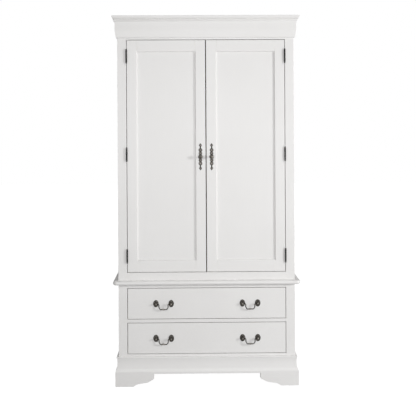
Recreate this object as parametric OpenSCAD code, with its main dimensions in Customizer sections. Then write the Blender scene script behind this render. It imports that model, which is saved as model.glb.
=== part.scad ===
// Two-door wardrobe standing on a two-drawer chest: a cove cornice, an inset pair
// of framed doors, a bullnosed waist slab and an ogee plinth on bracket feet.
// Millimetres, +Z up, the front faces -Y. The origin is the middle of the
// footprint, on the floor.

/* [Overall size] */
// Width over the cornice and the waist slab
overall_w = 1016; // [960:2:1100]
// Depth from the slab's front edge to the back
overall_d = 559; // [520:1:620]
// Height from the floor to the top of the cornice
overall_h = 2007; // [1900:1:2100]
// How far the cornice and the slab stand out from the case
overhang = 29; // [26:1:34]

/* [Levels] */
// Height of the plinth's top edge
plinth_top = 160; // [148:1:175]
// Height of the waist slab's underside
slab_z = 551; // [505:1:600]
// Thickness of the waist slab
slab_t = 22; // [18:1:26]
// Height of the cornice moulding
cornice_h = 119; // [112:1:130]
// Height of the hanging rod above the floor
rod_z = 1630; // [1500:1:1680]

/* [Boards] */
// Thickness of the side, roof and deck boards
board_t = 18; // [16:1:20]
// Thickness of the face frame
frame_t = 22; // [20:1:26]
// Thickness of the doors and drawer fronts
door_t = 20; // [18:1:20]
// Thickness of the back panels
back_t = 6; // [4:1:9]

/* [Face frame] */
// Width of the face frame's stiles
stile_w = 47.5; // [42:0.5:55]
// Height of the rail under the doors
sill_h = 42; // [35:1:60]
// Height of the rail that shows over the doors
head_h = 8.5; // [6:0.5:20]
// Height of the rail over the drawers
top_rail_h = 19.5; // [16:0.5:24]
// Height of the rail under the drawers
bottom_rail_h = 12.5; // [11:0.5:18]
// Height of the rail between the drawers
mid_rail_h = 18; // [16:0.5:24]
// Gap round the doors and drawer fronts
gap = 3; // [2.8:0.1:3.5]
// Gap between the two doors
meeting_gap = 5; // [3:0.5:6]

/* [Doors] */
// Width of the door stiles
door_stile_w = 56; // [50:1:64]
// Height of the door rails
door_rail_h = 65; // [55:1:80]
// Depth of the panel's face behind the door's face
panel_recess = 7; // [5:0.5:9]
// Thickness of the door panel
panel_t = 6; // [4:0.5:8]
// Width of the bevel round the panel
bevel_w = 4; // [3:0.5:9]

/* [Hinges] */
// Length of a hinge barrel without its tips
barrel_l = 64; // [50:1:76]
// Radius of a hinge barrel
barrel_r = 4.25; // [4:0.05:4.4]
// Height of the outer hinges from the door's ends
hinge_inset = 87; // [70:1:140]
// How far the middle hinge sits above the door's middle
mid_hinge_rise = 9; // [0:1:20]

/* [Drawers] */
// Distance of the pulls from the middle
pull_x = 235; // [200:1:280]
// Distance between a pull's two posts
post_pitch = 83; // [76:1:96]
// Thickness of the drawer sides and back
drawer_side_t = 12; // [10:1:14]
// Length of the drawer sides
drawer_l = 460; // [380:1:470]

/* [Plinth] */
// Height of the apron's lower edge above the floor
apron_z = 71; // [62:1:80]
// Length of a front foot along the apron
front_foot_l = 208; // [180:1:240]
// Length of a side foot along the apron
side_foot_l = 170; // [150:1:180]
// Height of the glides under the feet
glide_lift = 2; // [1:0.5:5]

/* [Hidden] */

$fn = 64;

// Colours
paint = [0.93, 0.92, 0.91];
bare_wood = [0.86, 0.74, 0.56];
pewter = [0.32, 0.31, 0.29];
black_iron = [0.10, 0.10, 0.11];
steel = [0.72, 0.73, 0.75];
glide_plastic = [0.20, 0.19, 0.18];

// Case faces
case_x = overall_w / 2 - overhang;
front_y = overhang - overall_d / 2;
back_y = overall_d / 2;
inner_x = case_x - board_t;
frame_back_y = front_y + frame_t;
panel_y = back_y - back_t;
rabbet_w = board_t / 2;

// Levels
cornice_z = overall_h - cornice_h;
roof_z = overall_h - board_t;
slab_top = slab_z + slab_t;
door_bottom = slab_top + sill_h + gap;
door_top = cornice_z - head_h - gap;
door_mid = (door_bottom + door_top) / 2;
drawer_open_h = (slab_z - plinth_top - top_rail_h - mid_rail_h - bottom_rail_h) / 2;
lower_open_z = plinth_top + bottom_rail_h;
upper_open_z = lower_open_z + drawer_open_h + mid_rail_h;

// Door and drawer edges
open_x = case_x - stile_w;
door_edge_x = open_x - gap;
door_inner_x = meeting_gap / 2;
door_back_y = front_y + door_t;
panel_in = 8;
panel_front_y = front_y + panel_recess;
sight_x0 = -door_edge_x + door_stile_w;
sight_x1 = -door_inner_x - door_stile_w;
sight_z0 = door_bottom + door_rail_h;
sight_z1 = door_top - door_rail_h;

// Hinges
axis_x = open_x - gap / 2;
axis_y = front_y - 4.5;
pin_r = 2;
pin_fit = 0.05;
leaf_t = 1.3;
leaf_w = 24;
leaf_clear_r = barrel_r + 0.4;
knuckles = 5;
knuckle_gap = 0.4;
tip_r = 3.4;
hinge_levels = [door_bottom + hinge_inset, door_mid + mid_hinge_rise, door_top - hinge_inset];

// Door furniture
handle_x = -door_inner_x - door_stile_w / 2;
handle_z = door_mid - 5;
plate_t = 2.2;
knob_reach = 28;
knob_head_r = 10.5;
knob_screw_r = 2;
screw_fit = 0.2;

// Inside of the wardrobe
shelf_z = rod_z + 60;
shelf_front_y = front_y + 100;
cleat_w = 20;
rod_r = 12.5;
rod_y = (frame_back_y + panel_y) / 2;
socket_l = 14;
socket_floor = 4;

// Drawers
box_x = door_edge_x - 7;
box_lift = 6;
box_drop = 12;
runner_clear = 0.4;
runner_in = 18;
runner_guide_h = 26;
runner_ledge_t = 6;
bottom_t = 5;
bottom_rise = 10;
bottom_in = 6;
drawer_wall_y = door_back_y;
drawer_end_y = drawer_wall_y + drawer_l;
drawer_back_in = 8;
deck_t = lower_open_z + box_lift - runner_ledge_t - runner_clear - plinth_top;
dust_t = 6;

// Drawer pulls
rosette_w = 29;
rosette_h = 39;
post_reach = 14;
post_r = 3.2;
post_head_r = 5.2;
post_shank_r = 2.5;
nut_r = 6;
nut_t = 4;
wire_r = 2.2;
wire_bead_r = 3;
wire_sides = 10;
arm_ball_r = 3.1;
grip_half = 13;
grip_swell = 1.5;
low_bend_r = 9;
low_turn = 75;
bail_pin_r = 2;
bail_drop = 29;
low_bend_l = PI * low_bend_r * low_turn / 180;
low_end_x = grip_half + low_bend_r * sin(low_turn);
low_end_z = low_bend_r * (1 - cos(low_turn));
arm_l = (bail_drop - low_end_z) / sin(low_turn);
arm_end_x = low_end_x + arm_l * cos(low_turn);
bail_l = grip_half + low_bend_l + arm_l;

// Plinth and feet
plinth_in = 8;
plinth_back_t = 18;
flare_u = 17.5;
flare_z0 = 79;
flare_z1 = 101;
waist_u = 9.5;
hollow_rise = 2.5;
nose_u = 12;
nose_r = 5;
foot_toe_l = 98;
foot_arc_l = 42;
foot_cusp_z = 18;
foot_knee_z = 24;
foot_shoulder_z = 44;
foot_corner = 5;
block_w = 45;
block_gap = 8;
glide_r = 12;

// ---------------------------------------------------------------- helpers

// Points along a round stretch of an outline, from angle a0 to a1
function arc(cx, cy, r, a0, a1, n = 8) =
  [for (i = [0:n]) let (a = a0 + (a1 - a0) * i / n) [cx + r * cos(a), cy + r * sin(a)]];

// Radius of the arc that leaves a straight at a tangent and reaches rise over run
function sweep_r(run, rise) = (run * run + rise * rise) / (2 * rise);

module board(x, y, z) {
  translate([x[0], y[0], z[0]])
    cube([x[1] - x[0], y[1] - y[0], z[1] - z[0]]);
}

module both_sides() {
  children();
  mirror([1, 0, 0]) children();
}

// A moulding along the front: the outline's x runs outwards, its y is the height
module front_run(half_l) {
  translate([half_l, front_y, 0])
    rotate([90, 0, -90])
      linear_extrude(height = 2 * half_l) children();
}

// The same outline along the left side, from past the front corner to the back
module left_run(start_y) {
  translate([-case_x, start_y, 0])
    rotate([90, 0, 180])
      linear_extrude(height = back_y - start_y) children();
}

// The space in front of the two 45 degree mitres at the case's front corners
module mitre_space() {
  d = 2 * overhang;
  translate([0, 0, -overhang])
    linear_extrude(height = overall_h + 2 * overhang)
      polygon([
        [-case_x + d, front_y + d],
        [case_x - d, front_y + d],
        [case_x + d, front_y - d],
        [-case_x - d, front_y - d]
      ]);
}

// ---------------------------------------------------------------- cornice

// Cornice outline: lip, pulvinated frieze, cove, bead and rounded fascia
module cornice_outline() {
  u0 = 12.4;
  lip_r = 6;
  swell_z = cornice_z + 52;
  swell_r = sweep_r(43, 5);
  top_r = 2.5;
  fascia_run = 15;
  fascia_r = sweep_r(fascia_run, 7.5);
  fascia_z = overall_h - top_r - fascia_run;
  bead_r = 4.5;
  bead_z = fascia_z - 6;
  cove_run = 14;
  cove_rise = 4;
  cove_r = sweep_r(cove_run, cove_rise);
  cove_z = bead_z - bead_r - cove_run;
  polygon(concat(
    [[0, overall_h], [0, cornice_z]],
    arc(1.4, cornice_z + lip_r, lip_r, -90, 0),
    arc(u0 - swell_r, swell_z, swell_r, -asin(43 / swell_r), 0),
    arc(u0 + cove_r, cove_z, cove_r, 180, 180 - asin(cove_run / cove_r), 6),
    arc(u0 + cove_rise, bead_z, bead_r, -70, 70, 7),
    [[u0 + cove_rise + 0.5, fascia_z]],
    arc(overhang - fascia_r, fascia_z + fascia_run, fascia_r, -asin(fascia_run / fascia_r), 0),
    arc(overhang - top_r, overall_h - top_r, top_r, 10, 90, 5)
  ));
}

module cornice_front() {
  color(paint)
    intersection() {
      front_run(case_x + overhang) cornice_outline();
      mitre_space();
    }
}

module cornice_returns() {
  color(paint)
    both_sides()
      difference() {
        left_run(front_y - overhang) cornice_outline();
        mitre_space();
      }
}

// ---------------------------------------------------------------- upper case

module roof_board() {
  color(paint)
    board([-case_x, case_x], [front_y, back_y], [roof_z, overall_h]);
}

// Left side board with a rabbet for the back panel
module side_board(z0, z1) {
  color(paint)
    difference() {
      board([-case_x, -inner_x], [frame_back_y, back_y], [z0, z1]);
      board([-case_x + rabbet_w, case_x], [panel_y, back_y + 1], [z0 - 1, z1 + 1]);
    }
}

module upper_left_side() {
  side_board(slab_top, roof_z);
}

module upper_right_side() {
  mirror([1, 0, 0]) side_board(slab_top, roof_z);
}

module upper_deck() {
  color(bare_wood)
    board([-inner_x, inner_x], [frame_back_y, panel_y], [slab_top, slab_top + board_t]);
}

module back_panel(z0, z1) {
  color(bare_wood)
    board([-case_x + rabbet_w, case_x - rabbet_w], [panel_y, back_y], [z0, z1]);
}

module upper_back() {
  back_panel(slab_top, roof_z);
}

module frame_stile(z0, z1) {
  color(paint)
    board([-case_x, -open_x], [front_y, frame_back_y], [z0, z1]);
}

module frame_rail(z0, z1) {
  color(paint)
    board([-open_x, open_x], [front_y, frame_back_y], [z0, z1]);
}

module upper_left_stile() {
  frame_stile(slab_top, roof_z);
}

module upper_right_stile() {
  mirror([1, 0, 0]) frame_stile(slab_top, roof_z);
}

module upper_top_rail() {
  frame_rail(door_top + gap, roof_z);
}

module upper_sill_rail() {
  frame_rail(slab_top, door_bottom - gap);
}

module hat_shelf() {
  color(bare_wood)
    board([-inner_x, inner_x], [shelf_front_y, panel_y], [shelf_z, shelf_z + board_t]);
}

module shelf_cleats() {
  color(bare_wood)
    both_sides()
      board([-inner_x, -inner_x + cleat_w], [shelf_front_y + cleat_w, panel_y - cleat_w],
            [shelf_z - cleat_w, shelf_z]);
}

module hanging_rod() {
  half_l = inner_x - socket_floor - 0.5;
  color(steel)
    translate([-half_l, rod_y, rod_z])
      rotate([0, 90, 0])
        cylinder(h = 2 * half_l, r = rod_r);
}

// A flanged cup that holds one end of the rod
module rod_sockets() {
  color(steel)
    both_sides()
      translate([-inner_x, rod_y, rod_z])
        rotate([0, 90, 0])
          difference() {
            union() {
              cylinder(h = socket_floor, r = 2 * rod_r);
              cylinder(h = socket_l, r = rod_r + 3);
            }
            translate([0, 0, socket_floor])
              cylinder(h = socket_l, r = rod_r + pin_fit);
          }
}

// Catch bodies behind the top rail, one over each meeting stile
module magnetic_catches() {
  catch_l = 46;
  catch_d = 14;
  color(glide_plastic)
    both_sides()
      board([-door_stile_w, -door_stile_w + catch_l], [frame_back_y, frame_back_y + catch_d],
            [door_top - catch_d, door_top + gap + catch_d]);
}

// ---------------------------------------------------------------- hinges

knuckle_l = barrel_l / knuckles;

// One knuckle, counted from the barrel's lower end, with the pin's bore
module knuckle(i) {
  translate([0, 0, i * knuckle_l + knuckle_gap / 2])
    difference() {
      cylinder(h = knuckle_l - knuckle_gap, r = barrel_r);
      translate([0, 0, -1]) cylinder(h = knuckle_l + 2, r = pin_r + pin_fit);
    }
}

// A leaf and its knuckles; first is 0 for the frame's leaf and 1 for the door's
module hinge_leaf(first) {
  x0 = first == 0 ? -gap / 2 : gap / 2 - leaf_t;
  translate([-axis_x, axis_y, -barrel_l / 2]) {
    difference() {
      translate([x0, 0, 0]) cube([leaf_t, leaf_w, barrel_l]);
      translate([0, 0, -1]) cylinder(h = barrel_l + 2, r = pin_r + 0.6);
      for (i = [1 - first:2:knuckles - 1])
        translate([0, 0, i * knuckle_l - knuckle_gap / 2])
          cylinder(h = knuckle_l + knuckle_gap, r = leaf_clear_r);
    }
    for (i = [first:2:knuckles - 1]) knuckle(i);
  }
}

module hinge_leaves(first) {
  color(black_iron)
    for (z = hinge_levels)
      translate([0, 0, z]) hinge_leaf(first);
}

module frame_hinge_leaves() {
  both_sides() hinge_leaves(0);
}

// Pins with turned tips, which stay with the frame's leaves
module hinge_pins() {
  tip_neck = 1.2;
  color(black_iron)
    both_sides()
      for (z = hinge_levels)
        translate([-axis_x, axis_y, z]) {
          translate([0, 0, -barrel_l / 2 - tip_neck])
            cylinder(h = barrel_l + 2 * tip_neck, r = pin_r);
          for (end = [-1, 1])
            translate([0, 0, end * (barrel_l / 2 + tip_neck)])
              rotate([end > 0 ? 0 : 180, 0, 0]) {
                cylinder(h = 1.6, r = barrel_r);
                translate([0, 0, tip_r]) sphere(r = tip_r);
              }
        }
}

// ---------------------------------------------------------------- doors

// The room over the door's panel, with bevelled sides that mitre at the corners
module panel_room() {
  over = 1;
  spread = bevel_w * (panel_recess + over) / panel_recess;
  y0 = front_y - over;
  intersection() {
    translate([0, 0, sight_z0 - 2 * bevel_w])
      linear_extrude(height = sight_z1 - sight_z0 + 4 * bevel_w)
        polygon([
          [sight_x0 - spread, y0], [sight_x1 + spread, y0],
          [sight_x1, panel_front_y], [sight_x0, panel_front_y]
        ]);
    translate([sight_x0 - 2 * bevel_w, 0, 0])
      rotate([90, 0, 90])
        linear_extrude(height = sight_x1 - sight_x0 + 4 * bevel_w)
          polygon([
            [y0, sight_z0 - spread], [y0, sight_z1 + spread],
            [panel_front_y, sight_z1], [panel_front_y, sight_z0]
          ]);
  }
}

// The panel, which is let into a groove all round
module panel_body() {
  board([sight_x0 - panel_in, sight_x1 + panel_in],
        [panel_front_y, panel_front_y + panel_t],
        [sight_z0 - panel_in, sight_z1 + panel_in]);
}

module door_hinge_stile() {
  color(paint)
    difference() {
      board([-door_edge_x, sight_x0], [front_y, door_back_y], [door_bottom, door_top]);
      panel_room();
      panel_body();
    }
}

module door_meeting_stile() {
  color(paint)
    difference() {
      board([sight_x1, -door_inner_x], [front_y, door_back_y], [door_bottom, door_top]);
      panel_room();
      panel_body();
      translate([handle_x, front_y - 1, handle_z])
        rotate([-90, 0, 0])
          cylinder(h = door_t + 2, r = knob_screw_r + screw_fit);
    }
}

module door_rails() {
  color(paint)
    difference() {
      for (z = [door_bottom, sight_z1])
        board([sight_x0, sight_x1], [front_y, door_back_y], [z, z + door_rail_h]);
      panel_room();
      panel_body();
    }
}

module door_panel() {
  color(paint) panel_body();
}

// Backplate outline: boss, paired lobes and a diamond at each end
module plate_outline() {
  circle(r = 12);
  for (end = [-1, 1]) {
    translate([0, end * 19]) circle(r = 9);
    translate([0, end * 36]) circle(r = 10);
    translate([0, end * 52]) square([7, 18], center = true);
    polygon([[0, end * 73], [8, end * 62], [0, end * 50], [-8, end * 62]]);
  }
}

// A low dome of radius r and the given height, standing on the plate
module plate_dome(z, r, rise) {
  ball_r = sweep_r(r, rise);
  translate([0, -plate_t, z])
    intersection() {
      translate([0, ball_r - rise, 0]) sphere(r = ball_r);
      translate([-2 * r, -2 * rise, -2 * r]) cube([4 * r, 2 * rise + plate_t / 2, 4 * r]);
    }
}

module door_backplate() {
  dome_rise = 1.8;
  color(pewter)
    translate([handle_x, front_y, handle_z])
      difference() {
        union() {
          rotate([90, 0, 0]) linear_extrude(height = plate_t) plate_outline();
          for (end = [-1, 1]) {
            plate_dome(end * 20, 6.5, dome_rise);
            plate_dome(end * 37, 7.5, dome_rise);
            plate_dome(end * 62, 4, dome_rise);
          }
        }
        translate([0, 1, 0]) rotate([90, 0, 0]) cylinder(h = 10, r = knob_screw_r + screw_fit);
      }
}

// Mushroom knob on a turned stem, with the screw that holds it from behind
module door_knob() {
  stem_r = 4;
  base_r = 8.5;
  head_z = knob_reach - plate_t - 6;
  shank_l = door_t + plate_t;
  color(pewter)
    translate([handle_x, front_y - plate_t, handle_z])
      rotate([90, 0, 0]) {
        rotate_extrude()
          difference() {
            polygon(concat(
              [[0, 0], [base_r, 0], [base_r, 1.4]],
              arc(stem_r + 4, 1.4 + 4, 4, 270, 180),
              [[stem_r, head_z - 7]],
              arc(knob_head_r - 6, head_z, 6, -65, 90, 12),
              [[0, head_z + 6]]
            ));
            translate([-20, -1]) square([20, 2 * knob_reach]);
          }
        translate([0, 0, -shank_l]) cylinder(h = shank_l, r = knob_screw_r);
        translate([0, 0, -shank_l - 2.5]) cylinder(h = 2.5, r = 2 * knob_screw_r);
      }
}

module left_door_hinge_stile() {
  door_hinge_stile();
}
module left_door_meeting_stile() {
  door_meeting_stile();
}
module left_door_rails() {
  door_rails();
}
module left_door_panel() {
  door_panel();
}
module left_door_hinge_leaves() {
  hinge_leaves(1);
}
module left_door_backplate() {
  door_backplate();
}
module left_door_knob() {
  door_knob();
}
module right_door_hinge_stile() {
  mirror([1, 0, 0]) door_hinge_stile();
}
module right_door_meeting_stile() {
  mirror([1, 0, 0]) door_meeting_stile();
}
module right_door_rails() {
  mirror([1, 0, 0]) door_rails();
}
module right_door_panel() {
  mirror([1, 0, 0]) door_panel();
}
module right_door_hinge_leaves() {
  mirror([1, 0, 0]) hinge_leaves(1);
}
module right_door_backplate() {
  mirror([1, 0, 0]) door_backplate();
}
module right_door_knob() {
  mirror([1, 0, 0]) door_knob();
}

// ---------------------------------------------------------------- waist slab

// Half-round edge on the front and both sides, turning the corners on an arc
module waist_slab() {
  r = slab_t / 2;
  bend_r = r + 1;
  x1 = overall_w / 2 - r;
  y0 = -overall_d / 2 + r;
  cx = x1 - bend_r;
  cy = y0 + bend_r;
  color(paint)
    translate([0, 0, slab_z + r]) {
      board([-x1, x1], [cy, back_y], [-r, r]);
      board([-cx, cx], [y0, cy], [-r, r]);
      translate([-cx, y0, 0]) rotate([0, 90, 0]) cylinder(h = 2 * cx, r = r);
      both_sides() {
        translate([x1, back_y, 0]) rotate([90, 0, 0]) cylinder(h = back_y - cy, r = r);
        translate([cx, cy, 0])
          rotate([0, 0, -90])
            rotate_extrude(angle = 90) {
              translate([0, -r]) square([bend_r, slab_t]);
              translate([bend_r, 0]) circle(r = r);
            }
      }
    }
}

// ---------------------------------------------------------------- lower case

module lower_left_side() {
  side_board(plinth_top, slab_z);
}

module lower_right_side() {
  mirror([1, 0, 0]) side_board(plinth_top, slab_z);
}

module lower_back() {
  back_panel(plinth_top, slab_z);
}

module lower_stiles() {
  both_sides() frame_stile(plinth_top, slab_z);
}

module lower_top_rail() {
  frame_rail(slab_z - top_rail_h, slab_z);
}

module lower_middle_rail() {
  frame_rail(upper_open_z - mid_rail_h, upper_open_z);
}

module lower_bottom_rail() {
  frame_rail(plinth_top, lower_open_z);
}

module dust_panel() {
  top = upper_open_z + box_lift - runner_ledge_t - runner_clear;
  color(bare_wood)
    board([-inner_x, inner_x], [frame_back_y, panel_y], [top - dust_t, top]);
}

module lower_deck() {
  color(bare_wood)
    board([-inner_x, inner_x], [frame_back_y, panel_y], [plinth_top, plinth_top + deck_t]);
}

// L-shaped guides: the ledge carries a drawer side and the upright steers it
module drawer_runners() {
  color(bare_wood)
    both_sides()
      for (open_z = [lower_open_z, upper_open_z]) {
        ledge_z = open_z + box_lift - runner_clear;
        board([-inner_x, -box_x + runner_in], [frame_back_y, panel_y],
              [ledge_z - runner_ledge_t, ledge_z]);
        board([-inner_x, -box_x - runner_clear], [frame_back_y, panel_y],
              [ledge_z, ledge_z + runner_guide_h]);
      }
}

// ---------------------------------------------------------------- drawers

module drawer_front(open_z) {
  z0 = open_z + gap;
  z1 = open_z + drawer_open_h - gap;
  color(paint)
    difference() {
      board([-door_edge_x, door_edge_x], [front_y, door_back_y], [z0, z1]);
      drawer_panel(open_z);
      pull_places(open_z)
        translate([0, -1, 0])
          rotate([-90, 0, 0])
            cylinder(h = door_t + 2, r = post_shank_r + screw_fit);
    }
}

// Bottom panel, let into the front and both sides
module drawer_panel(open_z) {
  z0 = open_z + box_lift + bottom_rise;
  x1 = box_x - drawer_side_t + bottom_in;
  board([-x1, x1], [drawer_wall_y - bottom_in, drawer_end_y], [z0, z0 + bottom_t]);
}

// Both sides and the back, three separate boards
module drawer_walls(open_z) {
  z0 = open_z + box_lift;
  z1 = open_z + drawer_open_h - box_drop;
  back_z0 = z0 + bottom_rise + bottom_t;
  y1 = drawer_end_y - drawer_back_in;
  color(bare_wood) {
    both_sides()
      difference() {
        board([-box_x, -box_x + drawer_side_t], [drawer_wall_y, drawer_end_y], [z0, z1]);
        drawer_panel(open_z);
      }
    board([-box_x + drawer_side_t, box_x - drawer_side_t], [y1 - drawer_side_t, y1],
          [back_z0, z1]);
  }
}

module drawer_bottom(open_z) {
  color(bare_wood) drawer_panel(open_z);
}

// Puts its children at the four posts of a drawer's two pulls
module pull_places(open_z) {
  for (x = [-pull_x, pull_x], side = [-1, 1])
    translate([x + side * post_pitch / 2, front_y, open_z + drawer_open_h / 2])
      children();
}

// Oval of four arcs
module oval(w, h) {
  end_r = 0.36 * w;
  end_z = h / 2 - end_r;
  flank_r = (w * w / 4 + end_z * end_z - end_r * end_r) / (w - 2 * end_r);
  flank_x = flank_r - w / 2;
  meet_z = end_z + end_r * end_z / (flank_r - end_r);
  for (end = [-1, 1])
    translate([0, end * end_z]) circle(r = end_r);
  intersection() {
    translate([flank_x, 0]) circle(r = flank_r);
    translate([-flank_x, 0]) circle(r = flank_r);
    square([2 * w, 2 * meet_z], center = true);
  }
}

// Stepped rosette, post with a cross bore for the bail, shank and nut
module rosette() {
  rim_t = 1.8;
  step_t = 1.4;
  difference() {
    union() {
      rotate([90, 0, 0]) {
        linear_extrude(height = rim_t) oval(rosette_w, rosette_h);
        translate([0, 0, rim_t])
          linear_extrude(height = step_t) oval(0.74 * rosette_w, 0.74 * rosette_h);
        cylinder(h = post_reach, r = post_r);
        translate([0, 0, rim_t + step_t]) cylinder(h = 1.6, r = 2 * post_r);
        translate([0, 0, post_reach]) sphere(r = post_head_r);
      }
      rotate([-90, 0, 0]) cylinder(h = door_t + nut_t + 2, r = post_shank_r);
      translate([0, door_t, 0]) rotate([-90, 0, 0]) cylinder(h = nut_t, r = nut_r, $fn = 6);
    }
    translate([-rosette_w, -post_reach, 0])
      rotate([0, 90, 0])
        cylinder(h = 2 * rosette_w, r = bail_pin_r + pin_fit);
  }
}

module drawer_rosettes(open_z) {
  color(pewter) pull_places(open_z) rosette();
}

// Place and heading on a bail's wire, measured along it from the grip's middle
function bail_place(s) =
  s <= grip_half ? [s, 0, 0]
  : s <= grip_half + low_bend_l
    ? let (a = low_turn * (s - grip_half) / low_bend_l)
      [grip_half + low_bend_r * sin(a), low_bend_r * (1 - cos(a)), a]
  : let (d = s - grip_half - low_bend_l)
    [low_end_x + d * cos(low_turn), low_end_z + d * sin(low_turn), low_turn];

// Rings [distance, radius] of a bead that swells from the wire to bead_r and back
function bead_rings(s0, len, bead_r, n = 4) =
  [for (i = [0:n]) [s0 + len * i / n, wire_r + (bead_r - wire_r) * sin(180 * i / n)]];

// Half of a bail's rings: swelled grip, bead, low bend, arm and end ball
bail_rings = concat(
  [for (i = [0:3]) [3 * i, wire_r + grip_swell * cos(90 * 3 * i / grip_half)]],
  bead_rings(grip_half - 1.4, 2.8, wire_bead_r),
  [for (i = [1:4]) [grip_half + low_bend_l * (1 + i) / 5, wire_r]],
  [for (i = [0:5]) let (a = 140 - 26 * i) [bail_l - arm_ball_r * cos(180 - a), arm_ball_r * sin(a)]]
);

// A ring's points; side is -1 on the left half and 1 on the right
function ring_points(ring, side) =
  let (p = bail_place(ring[0]))
  [for (k = [0:wire_sides - 1])
    let (a = 360 * k / wire_sides, n = ring[1] * sin(a))
    [side * (p[0] - n * sin(p[2])), ring[1] * cos(a), p[1] + n * cos(p[2])]];

// The bail's wire as one skin over its rings, from the left end to the right
module bail_wire() {
  n = len(bail_rings);
  points = [
    for (i = [1 - n:n - 1])
      each ring_points(bail_rings[abs(i)], i < 0 ? -1 : 1)
  ];
  last = (2 * n - 2) * wire_sides;
  polyhedron(points = points, faces = concat(
    [for (i = [0:2 * n - 3], k = [0:wire_sides - 1])
      let (a = i * wire_sides, b = a + wire_sides, m = (k + 1) % wire_sides)
      [a + k, b + k, b + m, a + m]],
    [[for (k = [0:wire_sides - 1]) k]],
    [[for (k = [wire_sides - 1:-1:0]) last + k]]
  ));
}

// Swan-neck bail, hanging from the two pins in its end balls
module bail(x, open_z) {
  pin_end_x = post_pitch / 2 + post_head_r - 0.2;
  color(pewter)
    translate([x, front_y - post_reach, open_z + drawer_open_h / 2]) {
      translate([0, 0, -bail_drop]) bail_wire();
      both_sides()
        translate([arm_end_x, 0, 0])
          rotate([0, 90, 0])
            cylinder(h = pin_end_x - arm_end_x, r = bail_pin_r);
    }
}

module upper_drawer_front() {
  drawer_front(upper_open_z);
}
module upper_drawer_walls() {
  drawer_walls(upper_open_z);
}
module upper_drawer_bottom() {
  drawer_bottom(upper_open_z);
}
module upper_drawer_rosettes() {
  drawer_rosettes(upper_open_z);
}
module upper_left_bail() {
  bail(-pull_x, upper_open_z);
}
module upper_right_bail() {
  bail(pull_x, upper_open_z);
}
module lower_drawer_front() {
  drawer_front(lower_open_z);
}
module lower_drawer_walls() {
  drawer_walls(lower_open_z);
}
module lower_drawer_bottom() {
  drawer_bottom(lower_open_z);
}
module lower_drawer_rosettes() {
  drawer_rosettes(lower_open_z);
}
module lower_left_bail() {
  bail(-pull_x, lower_open_z);
}
module lower_right_bail() {
  bail(pull_x, lower_open_z);
}

// ---------------------------------------------------------------- plinth

// Plinth outline: rounded nose, shallow hollow, ogee flare and a straight foot
module plinth_outline() {
  run = (flare_z1 - flare_z0) / 2;
  rise = (flare_u - waist_u) / 2;
  ogee_r = sweep_r(run, rise);
  ogee_a = asin(run / ogee_r);
  hollow_z = (flare_z1 + plinth_top - nose_r) / 2;
  hollow_run = (plinth_top - nose_r - flare_z1) / 2;
  hollow_r = sweep_r(hollow_run, hollow_rise);
  hollow_a = asin(hollow_run / hollow_r);
  polygon(concat(
    [[-plinth_in, plinth_top], [-plinth_in, glide_lift], [flare_u, glide_lift]],
    arc(flare_u - ogee_r, flare_z0, ogee_r, 0, ogee_a),
    arc(waist_u + ogee_r, flare_z1, ogee_r, 180 + ogee_a, 180),
    arc(waist_u - hollow_rise + hollow_r, hollow_z, hollow_r, 180 + hollow_a, 180 - hollow_a),
    arc(nose_u - nose_r, plinth_top - nose_r, nose_r, 0, 90)
  ));
}

// Half of the gap between two bracket feet; half_l is from its middle to a foot's
// outer end, and foot_l is that foot's length along the apron
module bracket_gap(half_l, foot_l) {
  shoulder_x = half_l - foot_l;
  toe_r = sweep_r(foot_arc_l, foot_cusp_z - glide_lift);
  toe_a = asin(foot_arc_l / toe_r);
  cusp_x = half_l - foot_toe_l - foot_arc_l;
  polygon(concat(
    [
      [-1, -1],
      [-1, apron_z],
      [shoulder_x, apron_z],
      [shoulder_x, foot_shoulder_z],
      [shoulder_x + foot_corner, foot_shoulder_z - foot_corner],
      [(shoulder_x + cusp_x) / 2, foot_knee_z]
    ],
    arc(cusp_x, foot_cusp_z - toe_r, toe_r, 90, 90 - toe_a),
    [[half_l - foot_toe_l, -1]]
  ));
}

module plinth_front() {
  color(paint)
    difference() {
      intersection() {
        front_run(case_x + flare_u) plinth_outline();
        mitre_space();
      }
      translate([0, back_y, 0])
        rotate([90, 0, 0])
          linear_extrude(height = overall_d + overhang)
            both_sides() bracket_gap(case_x + flare_u, front_foot_l);
    }
}

module plinth_returns() {
  start_y = front_y - flare_u;
  mid_y = (start_y + back_y) / 2;
  color(paint)
    both_sides()
      difference() {
        left_run(start_y) plinth_outline();
        mitre_space();
        translate([-overall_w / 2, mid_y, 0])
          rotate([90, 0, 90])
            linear_extrude(height = overhang + 2 * plinth_in)
              both_sides() bracket_gap(back_y - mid_y, side_foot_l);
      }
}

module plinth_back() {
  color(bare_wood)
    board([-case_x + plinth_in, case_x - plinth_in], [back_y - plinth_back_t, back_y],
          [apron_z, plinth_top]);
}

// Puts its children behind each of the four feet
module at_feet() {
  front_block_y = front_y + plinth_in;
  back_block_y = back_y - plinth_back_t - block_w;
  both_sides()
    for (y = [front_block_y, back_block_y])
      translate([-case_x + plinth_in, y, 0]) children();
}

module corner_blocks() {
  color(bare_wood)
    at_feet()
      board([0, block_w], [0, block_w], [block_gap, plinth_top]);
}

module foot_glides() {
  color(glide_plastic)
    at_feet()
      translate([block_w / 2, block_w / 2, 0]) cylinder(h = block_gap, r = glide_r);
}

// ---------------------------------------------------------------- nodes

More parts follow.
